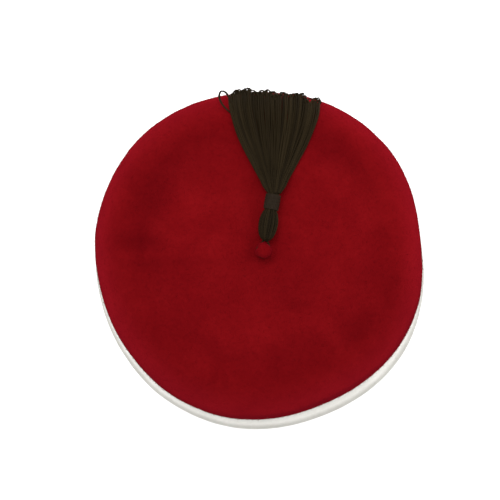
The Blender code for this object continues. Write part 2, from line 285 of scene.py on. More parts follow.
def wall_radius(height):
    """The crown's outer radius at a height on its side, before the dents."""
    if height > WIDEST_HEIGHT:
        up = min(1.0, (height - WIDEST_HEIGHT) / SHOULDER_RISE)
        return FLAT_RADIUS + SHOULDER_WIDTH * (1.0 - up**SHOULDER_POWER) ** (1.0 / SHOULDER_POWER)
    down = (WIDEST_HEIGHT - height) / (WIDEST_HEIGHT - HEM_HEIGHT)
    return CROWN_RADIUS - HEM_TUCK * min(1.0, down) ** 2


def band_radius(angle, height):
    """The band's outer radius: inside the felt above the hem, and flared to the lip below it."""
    inside = HEM_HEIGHT if height < HEM_HEIGHT else height
    tucked = wall_radius(inside) * side_share(angle) - FELT_THICKNESS - SEAM_GAP
    below = min(1.0, max(0.0, (HEM_HEIGHT - height) / (HEM_HEIGHT - LIP_EDGE)))
    return tucked + (LIP_RADIUS * lip_share(angle) - tucked) * below**FLARE_POWER


def turn_angles(count):
    return [2 * math.pi * n / count for n in range(count)]


def between(rows, count):
    """Points on a smooth curve through rows of numbers, count of them between each pair."""
    rows = [np.array(row, dtype=float) for row in rows]
    rows = [2 * rows[0] - rows[1]] + rows + [2 * rows[-1] - rows[-2]]
    points = []
    for p0, p1, p2, p3 in zip(rows, rows[1:], rows[2:], rows[3:]):
        for n in range(count):
            t = n / count
            bend = (2 * p0 - 5 * p1 + 4 * p2 - p3) * t * t + (3 * p1 - p0 - 3 * p2 + p3) * t**3
            points.append(0.5 * (2 * p1 + (p2 - p0) * t + bend))
    points.append(rows[-2])
    return points


# Meshes


def hat_object(name, mesh, material, slot, *replaced):
    """A finished piece: smooth, in its place in the frame, and riding on the hat."""
    mesh.transform(Matrix.Translation((FOOTPRINT_SHIFT, 0.0, 0.0)))
    if not mesh.materials:
        mesh.materials.append(material)
    mesh.shade_smooth()
    piece = bpy.data.objects.new(name, mesh)
    bpy.context.scene.collection.objects.link(piece)
    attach(piece, "root")
    if replaced:
        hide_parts(*replaced)
    return piece


def grid_mesh(name, rings, closed_hoop=False, poles=()):
    """A mesh of quads through rings of points, which meet in a hoop or close at their poles."""
    count = len(rings[0])
    points = np.concatenate([np.asarray(ring, dtype=float) for ring in rings])
    faces = []
    spans = len(rings) if closed_hoop else len(rings) - 1
    for r in range(spans):
        here, there = r * count, (r + 1) % len(rings) * count
        for n in range(count):
            after = (n + 1) % count
            faces.append((here + n, there + n, there + after, here + after))
    if poles:
        points = np.concatenate([points, np.asarray(poles, dtype=float)])
        first, last = len(points) - 2, len(points) - 1
        end = (len(rings) - 1) * count
        for n in range(count):
            after = (n + 1) % count
            faces.append((first, n, after))
            faces.append((last, end + after, end + n))
    mesh = bpy.data.meshes.new(name)
    mesh.from_pydata([tuple(point) for point in points], [], faces)
    mesh.update()
    return mesh


def grid_normals(grid):
    """Outward normals of a grid of points, rings by segments."""
    along = np.gradient(grid, axis=0)
    around = np.roll(grid, -1, axis=1) - np.roll(grid, 1, axis=1)
    normals = np.cross(along, around)
    return normals / np.maximum(np.linalg.norm(normals, axis=2, keepdims=True), 1e-12)


def felt_lumps(point, strength=1.0):
    """How far hand-pressed felt stands proud or sunk at a point."""
    soft = noise.noise(point * 34.0) * 0.00055
    knots = noise.noise(point * 120.0 + Vector((3.1, 0.4, 7.7))) * 0.00020
    fibres = noise.noise(point * 430.0 + Vector((9.2, 5.5, 1.3))) * 0.00006
    return (soft + knots + fibres) * strength


def lumped(grid, strength=1.0):
    """The grid with the lumps of felt pressed into it."""
    normals = grid_normals(grid)
    heights = np.array([[felt_lumps(Vector(p), strength) for p in ring] for ring in grid])
    return grid + normals * heights[:, :, None]


def float_attribute(mesh, name, values):
    made = mesh.attributes.new(name, "FLOAT", "POINT")
    made.data.foreach_set("value", np.asarray(values, dtype=np.float32))


# Node trees


def add(tree, kind, inputs=None, **settings):
    """One node with its settings, and its inputs set or linked by name or number."""
    node = tree.nodes.new(kind)
    for name, value in settings.items():
        setattr(node, name, value)
    for key, value in (inputs or {}).items():
        if isinstance(value, bpy.types.NodeSocket):
            tree.links.new(value, node.inputs[key])
        else:
            node.inputs[key].default_value = value
    return node


def maths(tree, operation, first, second=0.0):
    return add(tree, "ShaderNodeMath", {0: first, 1: second}, operation=operation).outputs[0]


def vector_maths(tree, operation, first, second=None, scale=None):
    inputs = {0: first}
    if second is not None:
        inputs[1] = second
    if scale is not None:
        inputs["Scale"] = scale
    return add(tree, "ShaderNodeVectorMath", inputs, operation=operation).outputs[0]


def geometry_tree(name, sizes):
    """A Geometry Nodes group with a geometry input, named number inputs and a geometry output."""
    tree = bpy.data.node_groups.new(name, "GeometryNodeTree")
    tree.interface.new_socket("Geometry", in_out="INPUT", socket_type="NodeSocketGeometry")
    for label, (kind, value) in sizes.items():
        socket = tree.interface.new_socket(label, in_out="INPUT", socket_type=f"NodeSocket{kind}")
        socket.default_value = value
    tree.interface.new_socket("Geometry", in_out="OUTPUT", socket_type="NodeSocketGeometry")
    return tree, add(tree, "NodeGroupInput").outputs


def finish_tree(tree, geometry, material):
    realized = add(tree, "GeometryNodeRealizeInstances", {"Geometry": geometry}).outputs[0]
    smooth = add(tree, "GeometryNodeSetShadeSmooth", {"Geometry": realized}).outputs[0]
    painted = add(tree, "GeometryNodeSetMaterial", {"Geometry": smooth, "Material": material})
    add(tree, "NodeGroupOutput", {0: painted.outputs[0]})


def grown_mesh(name, source, tree, **sizes):
    """The plain mesh that a Geometry Nodes tree makes from a source mesh."""
    carrier = bpy.data.objects.new(f"{name}_source", source)
    bpy.context.scene.collection.objects.link(carrier)
    step = carrier.modifiers.new(name, "NODES")
    step.node_group = tree
    for item in tree.interface.items_tree:
        if item.in_out == "INPUT" and item.name in sizes:
            step[item.identifier] = sizes[item.name]
    graph = bpy.context.evaluated_depsgraph_get()
    graph.update()
    made = bpy.data.meshes.new_from_object(carrier.evaluated_get(graph))
    made.name = name
    carrier.modifiers.remove(step)
    bpy.data.objects.remove(carrier)
    return made


def twisted_cord_tree(material):
    """Two-ply cords along the edges of a mesh of paths."""
    tree, sizes = geometry_tree(
        "twisted_cord",
        {
            "Radius": ("Float", CORD_RADIUS),
            "Pitch": ("Float", CORD_PITCH),
            "Step": ("Float", 0.0006),
            "Sides": ("Int", 5),
        },
    )
    curve = add(tree, "GeometryNodeMeshToCurve", {"Mesh": sizes["Geometry"]}).outputs[0]
    curve = add(
        tree, "GeometryNodeResampleCurve", {"Curve": curve, "Length": sizes["Step"]}, mode="LENGTH"
    ).outputs[0]
    normal = add(tree, "GeometryNodeInputNormal").outputs[0]
    tangent = add(tree, "GeometryNodeInputTangent").outputs[0]
    binormal = vector_maths(tree, "CROSS_PRODUCT", tangent, normal)
    length = add(tree, "GeometryNodeSplineParameter").outputs["Length"]
    turns = maths(tree, "DIVIDE", length, sizes["Pitch"])
    ply_radius = maths(tree, "MULTIPLY", sizes["Radius"], 0.56)
    offset = maths(tree, "MULTIPLY", sizes["Radius"], 0.46)
    profile = add(
        tree, "GeometryNodeCurvePrimitiveCircle", {"Resolution": sizes["Sides"], "Radius": ply_radius}
    ).outputs[0]
    plies = []
    for ply in range(2):
        angle = maths(tree, "MULTIPLY", maths(tree, "ADD", turns, ply * 0.5), 2 * math.pi)
        across = vector_maths(tree, "SCALE", normal, scale=maths(tree, "COSINE", angle))
        up = vector_maths(tree, "SCALE", binormal, scale=maths(tree, "SINE", angle))
        aside = vector_maths(tree, "SCALE", vector_maths(tree, "ADD", across, up), scale=offset)
        moved = add(tree, "GeometryNodeSetPosition", {"Geometry": curve, "Offset": aside}).outputs[0]
        tube = add(
            tree, "GeometryNodeCurveToMesh", {"Curve": moved, "Profile Curve": profile, "Fill Caps": True}
        )
        plies.append(tube.outputs[0])
    joined = add(tree, "GeometryNodeJoinGeometry")
    for tube in plies:
        tree.links.new(tube, joined.inputs[0])
    finish_tree(tree, joined.outputs[0], material)
    return tree


def nap_tree(material):
    """Short bent fibres strewn over a felt surface."""
    tree, sizes = geometry_tree(
        "felt_nap",
        {
            "Density": ("Float", 1000.0),
            "Fibre length": ("Float", 0.0016),
            "Fibre radius": ("Float", 0.00003),
            "Seed": ("Int", 1),
        },
    )
    strewn = add(
        tree,
        "GeometryNodeDistributePointsOnFaces",
        {"Mesh": sizes["Geometry"], "Density": sizes["Density"], "Seed": sizes["Seed"]},
    )
    length = sizes["Fibre length"]
    rise = maths(tree, "MULTIPLY", length, 0.42)
    middle = add(tree, "ShaderNodeCombineXYZ", {0: maths(tree, "MULTIPLY", length, 0.25), 2: rise})
    end = add(tree, "ShaderNodeCombineXYZ", {0: length, 2: maths(tree, "MULTIPLY", length, 0.22)})
    start = add(tree, "ShaderNodeCombineXYZ", {2: -0.0002})
    bent = add(
        tree,
        "GeometryNodeCurveQuadraticBezier",
        {"Resolution": 2, "Start": start.outputs[0], "Middle": middle.outputs[0], "End": end.outputs[0]},
    ).outputs[0]
    profile = add(
        tree, "GeometryNodeCurvePrimitiveCircle", {"Resolution": 3, "Radius": sizes["Fibre radius"]}
    ).outputs[0]
    fibre = add(
        tree, "GeometryNodeCurveToMesh", {"Curve": bent, "Profile Curve": profile, "Fill Caps": True}
    ).outputs[0]
    placed = add(
        tree,
        "GeometryNodeInstanceOnPoints",
        {"Points": strewn.outputs["Points"], "Instance": fibre, "Rotation": strewn.outputs["Rotation"]},
    ).outputs[0]
    spin = add(
        tree,
        "FunctionNodeRandomValue",
        {0: (0.0, -0.5, 0.0), 1: (0.0, 0.35, 2 * math.pi), "Seed": sizes["Seed"]},
        data_type="FLOAT_VECTOR",
    ).outputs[0]
    turned = add(tree, "GeometryNodeRotateInstances", {"Instances": placed, "Rotation": spin}).outputs[0]
    size = add(
        tree, "FunctionNodeRandomValue", {2: 0.5, 3: 1.35, "Seed": sizes["Seed"]}, data_type="FLOAT"
    ).outputs[1]
    scaled = add(tree, "GeometryNodeScaleInstances", {"Instances": turned, "Scale": size}).outputs[0]
    finish_tree(tree, scaled, material)
    return tree


def stitch_tree(material):
    """Separate stitches of thread laid end to end along a path."""
    tree, sizes = geometry_tree(
        "running_stitches",
        {
            "Spacing": ("Float", 0.0065),
            "Stitch length": ("Float", 0.0034),
            "Thread radius": ("Float", 0.00028),
        },
    )
    curve = add(tree, "GeometryNodeMeshToCurve", {"Mesh": sizes["Geometry"]}).outputs[0]
    spots = add(
        tree, "GeometryNodeCurveToPoints", {"Curve": curve, "Length": sizes["Spacing"]}, mode="LENGTH"
    )
    half = maths(tree, "MULTIPLY", sizes["Stitch length"], 0.5)
    low = add(tree, "ShaderNodeCombineXYZ", {2: maths(tree, "MULTIPLY", half, -1.0)}).outputs[0]
    high = add(tree, "ShaderNodeCombineXYZ", {2: half}).outputs[0]
    line = add(tree, "GeometryNodeCurvePrimitiveLine", {"Start": low, "End": high}).outputs[0]
    line = add(tree, "GeometryNodeResampleCurve", {"Curve": line, "Count": 5}).outputs[0]
    share = add(tree, "GeometryNodeSplineParameter").outputs["Factor"]
    full = maths(tree, "SINE", maths(tree, "MULTIPLY", share, math.pi))
    width = maths(tree, "ADD", maths(tree, "MULTIPLY", full, 0.7), 0.3)
    profile = add(
        tree, "GeometryNodeCurvePrimitiveCircle", {"Resolution": 6, "Radius": sizes["Thread radius"]}
    ).outputs[0]
    stitch = add(
        tree,
        "GeometryNodeCurveToMesh",
        {"Curve": line, "Profile Curve": profile, "Scale": width, "Fill Caps": True},
    ).outputs[0]
    placed = add(
        tree,
        "GeometryNodeInstanceOnPoints",
        {
            "Points": spots.outputs["Points"],
            "Instance": stitch,
            "Rotation": spots.outputs["Rotation"],
        },
    ).outputs[0]
    finish_tree(tree, placed, material)
    return tree


# Materials


def new_material(name):
    material = bpy.data.materials.new(name)
    material.use_nodes = True
    tree = material.node_tree
    shader = tree.nodes["Principled BSDF"]
    place = add(tree, "ShaderNodeTexCoord").outputs["Object"]
    return material, tree, shader, place


def noise_texture(tree, place, scale, detail=3.0, roughness=0.6, distortion=0.0):
    return add(
        tree,
        "ShaderNodeTexNoise",
        {
            "Vector": place,
            "Scale": scale,
            "Detail": detail,
            "Roughness": roughness,
            "Distortion": distortion,
        },
    ).outputs["Fac"]


def colour_ramp(tree, value, *stops):
    node = add(tree, "ShaderNodeValToRGB", {0: value})
    ramp = node.color_ramp
    for stop in range(2, len(stops)):
        ramp.elements.new(stops[stop][0])
    for element, (position, colour) in zip(ramp.elements, stops):
        element.position = position
        element.color = (*colour, 1.0)
    return node.outputs[0]


def mix_colours(tree, share, first, second, blend="MIX"):
    node = tree.nodes.new("ShaderNodeMix")
    node.data_type = "RGBA"
    node.blend_type = blend
    for socket, value in ((node.inputs[0], share), (node.inputs[6], first), (node.inputs[7], second)):
        if isinstance(value, bpy.types.NodeSocket):
            tree.links.new(value, socket)
        elif isinstance(value, tuple):
            socket.default_value = (*value, 1.0)
        else:
            socket.default_value = value
    return node.outputs[2]


def painted_shading_colour(tree, colour, raised, shaded_tint):
    """The colour made paler where the mesh's attribute paints light on it, and darker where it paints shade: raised is
    the tint of painted light, the last tint that of painted shade.
    """
    painted_light_shade = add(tree, "ShaderNodeAttribute", attribute_name="painted_light_shade").outputs["Fac"]
    painted_tint = colour_ramp(tree, painted_light_shade, (0.0, raised), (0.5, (1.0, 1.0, 1.0)), (1.0, shaded_tint))
    return mix_colours(tree, 1.0, colour, painted_tint, "MULTIPLY")


def felt_material(name, deep, middle, pale, raised, shaded_tint, sheen, sheen_tint):
    """Wool felt: cloudy dye, tangled fibres, and a soft nap that catches light at its edges."""
    material, tree, shader, place = new_material(name)
    clouds = noise_texture(tree, place, 55.0, 4.0, 0.55, 0.4)
    knots = noise_texture(tree, place, 420.0, 4.0, 0.7, 1.2)
    fibres = noise_texture(tree, place, 1900.0, 3.0, 0.75, 2.5)
    tone = maths(tree, "MULTIPLY_ADD", clouds, 0.45)
    tone_node = tone.node
    tree.links.new(maths(tree, "MULTIPLY", knots, 0.35), tone_node.inputs[2])
    tone = maths(tree, "ADD", tone, maths(tree, "MULTIPLY", fibres, 0.20))
    colour = colour_ramp(tree, tone, (0.34, deep), (0.50, middle), (0.66, pale))
    # The felt's colour made paler with painted light and darker with painted shade, from the mesh's attribute
    colour = painted_shading_colour(tree, colour, raised, shaded_tint)
    tree.links.new(colour, shader.inputs["Base Color"])
    shader.inputs["Roughness"].default_value = 0.95
    shader.inputs["Specular IOR Level"].default_value = 0.0
    shader.inputs["Sheen Weight"].default_value = sheen
    shader.inputs["Sheen Roughness"].default_value = 0.7
    shader.inputs["Sheen Tint"].default_value = (*sheen_tint, 1.0)
    relief = maths(tree, "ADD", maths(tree, "MULTIPLY", knots, 0.6), maths(tree, "MULTIPLY", fibres, 0.4))
    tangled = add(tree, "ShaderNodeBump", {"Strength": 0.55, "Distance": 0.0005, "Height": relief})
    tree.links.new(tangled.outputs[0], shader.inputs["Normal"])
    return material


def fibre_material(name, deep, pale, raised, shaded_tint, roughness):
    """Loose fibres, a little uneven in colour, that follow the painted light and shade of the felt under them: raised
    is the tint of painted light, the last tint that of painted shade.
    """
    material, tree, shader, place = new_material(name)
    tone = noise_texture(tree, place, 260.0, 2.0)
    colour = colour_ramp(tree, tone, (0.35, deep), (0.65, pale))
    colour = painted_shading_colour(tree, colour, raised, shaded_tint)
    tree.links.new(colour, shader.inputs["Base Color"])
    shader.inputs["Roughness"].default_value = roughness
    shader.inputs["Specular IOR Level"].default_value = 0.0
    return material


def cord_material(name, deep, middle, pale, roughness, gloss):
    """Twisted cord: each cord its own tone, with fine filaments and a dull shine."""
    material, tree, shader, place = new_material(name)
    own = add(tree, "ShaderNodeAttribute", attribute_name="tone").outputs["Fac"]
    filaments = noise_texture(tree, place, 2600.0, 2.0, 0.6, 1.0)
    tone = maths(tree, "ADD", maths(tree, "MULTIPLY", own, 0.6), maths(tree, "MULTIPLY", filaments, 0.4))
    colour = colour_ramp(tree, tone, (0.22, deep), (0.50, middle), (0.80, pale))
    tree.links.new(colour, shader.inputs["Base Color"])
    shader.inputs["Roughness"].default_value = roughness
    shader.inputs["Specular IOR Level"].default_value = gloss
    raised = add(tree, "ShaderNodeBump", {"Strength": 0.5, "Distance": 0.00012, "Height": filaments})
    tree.links.new(raised.outputs[0], shader.inputs["Normal"])
    return material


# The red crown


def crown_rings(segments):
    """The outer surface from the stalk's middle to the hem, as a grid of rings by segments."""
    angles = turn_angles(segments)
    centre = crown_height(0.0, 0.0)
    rings = []
    stalk = between([(row.radius * STALK_RADIUS, row.height * STALK_HEIGHT) for row in STALK_ROWS], 3)
    foot_radius = stalk[-1][0]
    for radius, height in stalk[1:]:
        blend = fade(radius / STALK_RADIUS - height / STALK_HEIGHT, 0.7, 1.2)
        ring = []
        for a in angles:
            uneven = 1.0 + STALK_LUMPS * (1.0 - blend) * noise.noise(Vector((math.cos(a), math.sin(a), height * 150.0)))
            x, y = radius * uneven * math.cos(a), radius * uneven * math.sin(a)
            ground = centre + (crown_height(x, y) - centre) * blend - dimple(radius)
            ring.append((x, y, ground + height))
        rings.append(ring)
    radii = [foot_radius + 0.0007 * n for n in range(1, 6)]
    steps = round((FLAT_RADIUS - radii[-1]) / 0.0015)
    radii += [radii[-1] + (FLAT_RADIUS - radii[-1]) * n / steps for n in range(1, steps + 1)]
    shoulder_steps = 40
    for n in range(1, shoulder_steps + 1):
        turn = math.pi / 2 * n / shoulder_steps
        radii.append(FLAT_RADIUS + SHOULDER_WIDTH * math.sin(turn) ** (2.0 / SHOULDER_POWER))
    for radius in radii:
        ring = []
        for a in angles:
            reach = radius * side_share(a)
            x, y = reach * math.cos(a), reach * math.sin(a)
            ring.append((x, y, crown_height(x, y) - dimple(radius)))
        rings.append(ring)
    wall_steps = 6
    for n in range(1, wall_steps + 1):
        height = WIDEST_HEIGHT + (HEM_HEIGHT - WIDEST_HEIGHT) * n / wall_steps
        rings.append(
            [
                (
                    wall_radius(height) * side_share(a) * math.cos(a),
                    wall_radius(height) * side_share(a) * math.sin(a),
                    height,
                )
                for a in angles
            ]
        )
    return np.array(rings), len(stalk) - 1


def dimple(radius):
    """How deep the felt is drawn in at a distance from the stalk."""
    return DIMPLE_DEPTH * bump(max(0.0, radius - STALK_RADIUS), DIMPLE_SPREAD - STALK_RADIUS + 0.002)


def painted_shading_share(point):
    """How dark the felt is painted at a point, as painted shade, and how pale, as painted light; 0.5 leaves it plain.
    """
    x, y, z = point
    # The side on which the lower wall and the rim are painted darker, as painted shade
    shaded_side = fade(math.cos(math.atan2(y, x) - SHADED_SIDE_ANGLE), 0.45, 0.95)
    if z < WIDEST_HEIGHT:
        # Below the widest point the wall is painted darker, as painted shade, fully at the hem and on the shaded side
        return 0.82 + 0.18 * max(shaded_side, fade(z, HEM_HEIGHT + 0.0075, HEM_HEIGHT + 0.0005))
    radius = math.hypot(x, y) / side_share(math.atan2(y, x)) / CROWN_RADIUS
    # Painted shade in a ring round the top's middle, painted light over the shoulder, and painted shade again at its
    # very edge
    share = 0.5 + 0.10 * bump(radius - 0.72, 0.12) - 0.18 * fade(radius, 0.78, 0.97)
    share += 0.10 * fade(radius, 0.92, 0.98)
    # Painted shade down the side, stronger on the shaded side
    share += 0.56 * fade(z, 0.060, 0.034) + 0.42 * shaded_side * fade(z, 0.060, 0.047)
    # Round the stalk: painted shade at its side and round its foot, and its top painted darker
    share += 0.26 * bump(radius - 0.95 * STALK_RADIUS / CROWN_RADIUS, 0.013)
    share += 0.10 * fade(radius, STALK_RADIUS / CROWN_RADIUS, 0.4 * STALK_RADIUS / CROWN_RADIUS)
    share += 0.06 * bump(radius - 1.7 * STALK_RADIUS / CROWN_RADIUS, 0.020)
    # Patches of painted shade and painted light
    for patch in PAINTED_SHADE_PATCHES:
        turn = Matrix.Rotation(-math.radians(patch.turn_deg), 2)
        away = turn @ Vector((x / CROWN_RADIUS - patch.x, y / CROWN_RADIUS - patch.y))
        share += patch.dark * bump(away.x, patch.length) * bump(away.y, patch.width)
    return min(1.0, max(0.0, share))


def nap_shade(point):
    """As the felt's painted light and shade, but the fibres that stand out past the hat's side are painted pale, as
    painted light.
    """
    return painted_shading_share(point) * (1.0 - fade(point.z, 0.060, 0.048) * fade(point.z, 0.016, 0.022))


def make_crown(material):
    """The felt shell with its stalk, its rolled hem and its inside."""
    segments = 300
    outer, stalk_rings = crown_rings(segments)
    outer = lumped(outer)
    plain = outer[stalk_rings:]
    normals = grid_normals(plain)
    inner = plain - normals * FELT_THICKNESS
    hem_turn = []
    middle = (plain[-1] + inner[-1]) / 2
    out = (plain[-1] - inner[-1]) / 2
    down = np.array([0.0, 0.0, -FELT_THICKNESS / 2])
    for n in range(1, 5):
        a = math.pi * n / 5
        hem_turn.append(middle + out * math.cos(a) + down * math.sin(a))
    inside = inner[::-1][::2]
    if len(inner) % 2 == 0:
        inside = np.concatenate([inside, inner[:1]])
    rings = list(outer) + hem_turn + list(inside)
    top = crown_height(0.0, 0.0) + STALK_HEIGHT * STALK_ROWS[0].height - dimple(0.0)
    ceiling = float(inside[-1][:, 2].mean())
    mesh = grid_mesh("crown_felt", rings, poles=((0, 0, top), (0, 0, ceiling)))
    # Painted light and painted shade for the felt's colour at each point
    shares = [painted_shading_share(v.co) for v in mesh.vertices]
    float_attribute(mesh, "painted_light_shade", shares)
    return hat_object("crown_felt", mesh, material, "red_felt", "crown"), outer


def make_crown_nap(outer, material):
    """Loose fibres that stand off the crown's outer surface, on its top and on its side."""
    tree = nap_tree(material)
    edge = int(np.argmax(outer[:, 0, 2] < NAP_PART_HEIGHT) // 3 * 3)
    parts = {"crown_nap_top": outer[: edge + 1 : 3, ::2], "crown_nap_side": outer[edge::3, ::2]}
    for seed, (name, part) in enumerate(parts.items()):
        ground = grid_mesh("nap_ground", list(part))
        # The fibres take the painted light and shade of the felt under them
        float_attribute(ground, "painted_light_shade", [nap_shade(v.co) for v in ground.vertices])
        length = NAP_LENGTHS[seed]
        made = grown_mesh(name, ground, tree, **{"Density": NAP_DENSITY, "Seed": seed, "Fibre length": length})
        hat_object(name, made, material, "red_felt").data.shade_flat()


# The white band


def band_grid(segments):
    """The band's cross-section round the hat: up its outside, over its top and down its inside."""
    angles = turn_angles(segments)
    top = HEM_HEIGHT + BAND_OVERLAP
    heights = [LIP_EDGE + (HEM_HEIGHT - LIP_EDGE) * n / 14 for n in range(15)]
    heights += [HEM_HEIGHT + BAND_OVERLAP * n / 8 for n in range(1, 9)]
    rings = []
    for height in heights:
        rings.append([(band_radius(a, height), height) for a in angles])
    outer = np.array(rings)
    slope = np.gradient(outer[:, :, 0], axis=0) / np.gradient(outer[:, :, 1], axis=0)
    width = BAND_THICKNESS * np.hypot(1.0, slope)
    inner = outer.copy()
    inner[:, :, 0] -= width
    lip = []
    middle, half = (outer[0] + inner[0]) / 2, (outer[0] - inner[0]) / 2
    for n in range(1, 6):
        a = math.pi * n / 6
        ring = middle + half * math.cos(a)
        ring[:, 1] = LIP_EDGE * (1.0 - math.sin(a))
        lip.append(ring)
    edge = []
    middle, half = (outer[-1] + inner[-1]) / 2, (outer[-1] - inner[-1]) / 2
    for n in range(1, 4):
        a = math.pi * n / 4
        ring = middle + half * math.cos(a)
        ring[:, 1] = top + BAND_THICKNESS * 0.4 * math.sin(a)
        edge.append(ring)
    section = list(outer) + edge + list(inner[::-1]) + lip[::-1]
    turned = []
    for ring in section:
        turned.append([(r * math.cos(a), r * math.sin(a), z) for (r, z), a in zip(ring, angles)])
    return np.array(turned)


def lip_shade(height):
    """How dark the white felt is painted: painted shade under the hem, and painted shade along the edge that it stands
    on.
    """
    return 0.5 + 0.35 * fade(height, 0.0045, 0.0105) + 0.45 * fade(height, 0.0048, 0.0026)


def make_band(material):
    """The white felt band with its soft lip."""
    grid = band_grid(300)
    closed = np.concatenate([grid[-1:], grid, grid[:1]])
    normals = -grid_normals(closed)[1:-1]
    lumps = np.array([[felt_lumps(Vector(p), 0.45) for p in ring] for ring in grid])
    lumps[grid[:, :, 2] < LIP_EDGE * 0.3] = 0.0
    inside_crown = grid[:, :, 2] > HEM_HEIGHT * 0.75
    lumps[inside_crown] = np.minimum(lumps[inside_crown], 0.0)
    grid = grid + normals * lumps[:, :, None]
    mesh = grid_mesh("band_felt", list(grid[::-1]), closed_hoop=True)
    # Painted shade under the hem and along the lip's lower edge
    float_attribute(mesh, "painted_light_shade", [lip_shade(v.co.z) for v in mesh.vertices])
    return hat_object("band_felt", mesh, material, "white_felt", "inner_band"), grid


def make_band_nap(grid, material):
    ground = grid_mesh("band_nap_ground", list(grid[14::-2, ::2]))
    # The band's fibres take the same painted shade as the felt under them
    float_attribute(ground, "painted_light_shade", [lip_shade(v.co.z) for v in ground.vertices])
    made = grown_mesh(
        "band_nap", ground, nap_tree(material), **{"Density": 260000.0, "Seed": 11, "Fibre length": 0.0011}
    )
    return hat_object("band_nap", made, material, "white_felt")


def make_band_stitches(material):
    """The thread that holds the band to the felt, seen inside the rim."""
    height = HEM_HEIGHT + BAND_OVERLAP * 0.72
    points = []
    for a in turn_angles(360):
        reach = band_radius(a, height) - BAND_THICKNESS - 0.00012
        points.append((reach * math.cos(a), reach * math.sin(a), height))
    paths = path_mesh("stitch_path", [points + points[:1]], [0.5])
    float_attribute(paths, "painted_light_shade", [0.5] * len(paths.vertices))
    made = grown_mesh("band_stitches", paths, stitch_tree(material))
    return hat_object("band_stitches", made, material, "white_felt")


# The tassel


def path_mesh(name, paths, tones):
    """A mesh of bare edges along paths, each with its own tone."""
    points, edges, values = [], [], []
    for path, tone in zip(paths, tones):
        start = len(points)
        points += [tuple(p) for p in path]
        edges += [(n, n + 1) for n in range(start, len(points) - 1)]
        values += [tone] * len(path)
    mesh = bpy.data.meshes.new(name)
    mesh.from_pydata(points, edges, [])
    float_attribute(mesh, "tone", values)
    return mesh


def tassel_axis(distance):
    """A point on the tassel's middle line at a plan distance from the stalk, at its resting height."""
    neck_end = TASSEL_START + HEAD_LENGTH + NECK_LENGTH
    straight = Vector((0.0, min(distance, neck_end), 0.0))
    past = Vector((0.0, max(0.0, distance - neck_end), 0.0))
    point = Matrix.Rotation(TASSEL_TURN, 3, "Z") @ straight + Matrix.Rotation(SKIRT_TURN, 3, "Z") @ past
    return Vector((point.x, point.y, crown_height(0.0, 0.0) + AXIS_LIFT))


def laid_heights(plan, start, clearance):
    """Heights of a limp cord along its plan: it falls as fast as it can bend and rests on the felt."""
    heights = [start, start]
    for before, point in zip(plan[1:], plan[2:]):
        step = (point - before).length
        falling = 2 * heights[-1] - heights[-2] - step * step / CORD_BEND_RADIUS
        heights.append(max(falling, resting_height(point.x, point.y, clearance)))
    return heights


def skirt_leg(start, side, length, lift, draw, steps=26):
    """The plan and heights of one cord from the neck to its end on the shoulder."""
    neck_end = TASSEL_START + HEAD_LENGTH + NECK_LENGTH
    turn = Matrix.Rotation(SKIRT_TURN, 3, "Z")
    sway, sway_phase = draw.uniform(0.0001, 0.0005), draw.uniform(0.0, 2 * math.pi)
    sway_length = draw.uniform(0.6, 1.4)
    plan = []
    for n in range(steps + 1):
        along = n / steps
        spread = math.sin(math.pi / 2 * along) ** (FAN_POWER + FAN_SKEW * side)
        reach = side * FAN_SHARE * SKIRT_WIDTH / 2
        loosened = start[0] * (1.0 + NECK_SPILL * fade(along, 0.0, 0.07))
        across = loosened + (reach - loosened) * spread
        across += sway * math.sin(sway_phase + 2 * math.pi * along * sway_length) * fade(along, 0.0, 0.4)
        plan.append(tassel_axis(neck_end + along * length) + turn @ Vector((across, 0.0, 0.0)))
    heights = laid_heights(plan, plan[0].z + start[1], CORD_RADIUS + lift)
    return [Vector((p.x, p.y, h)) for p, h in zip(plan, heights)]


def looped_cord(start, side, length, lift, loop_size, loop_turn, draw):
    """A cord that runs out from the neck, turns back in a small loop, and returns beside itself."""
    half_gap = CORD_RADIUS * 1.1 / (SKIRT_WIDTH / 2)
    out = skirt_leg(start, side - half_gap, length, lift, draw)
    state = draw.getstate()
    back = skirt_leg((start[0] + CORD_RADIUS, start[1]), side + half_gap, length, lift, draw)
    draw.setstate(state)
    forward = (Matrix.Rotation(loop_turn, 3, "Z") @ (out[-1] - out[-2])).normalized()
    aside = (Matrix.Rotation(loop_turn, 3, "Z") @ (back[-1] - out[-1])).normalized()
    tilt = draw.uniform(-0.9, 0.9)
    up = aside.cross(forward)
    aside = aside * math.cos(tilt) + up * math.sin(tilt)
    middle = (out[-1] + back[-1]) / 2
    turn = []
    for n in range(1, 12):
        a = -math.pi * 0.42 + (math.pi * 1.84) * n / 12
        reach = forward * (loop_size * (0.75 + 0.8 * math.sin(a)))
        width = -aside * (loop_size * 0.5 * math.cos(a))
        turn.append(middle + reach + width)
    return out + turn + back[::-1]


def stray_cord(draw):
    """One cord that strays out of the fan's left edge in a wide loop, and goes back under it."""
    leg = skirt_leg((-NECK_RADIUS * 0.7, 0.0), -0.98, SKIRT_LENGTH, 0.0004, draw)[:STRAY_STEPS]
    forward = (leg[-1] - leg[-2]).normalized()
    left = Vector((-1.0, 0.0, 0.0))
    rows = [tuple(leg[-2])]
    for row in STRAY_ROWS:
        spot = leg[-1] + (forward * row.forward + left * row.left) * STRAY_LENGTH
        rows.append((spot.x, spot.y, resting_height(spot.x, spot.y, CORD_RADIUS + STRAY_LIFT * row.forward)))
    return leg[:-1] + [Vector(point) for point in between(rows, 4)[4:]]


def neck_spot(number, count):
    """A place in the neck's round bundle, spread like seeds in a sunflower."""
    reach = (NECK_RADIUS - CORD_RADIUS) * math.sqrt((number + 0.5) / count)
    angle = number * math.pi * (3.0 - math.sqrt(5.0))
    return reach * math.cos(angle), reach * math.sin(angle)


def fringe_end(side):
    """How much further than SKIRT_LENGTH the cords reach on this side of the fan."""
    return float(np.interp(side, [row.side for row in FRINGE_ROWS], [row.reach for row in FRINGE_ROWS]))


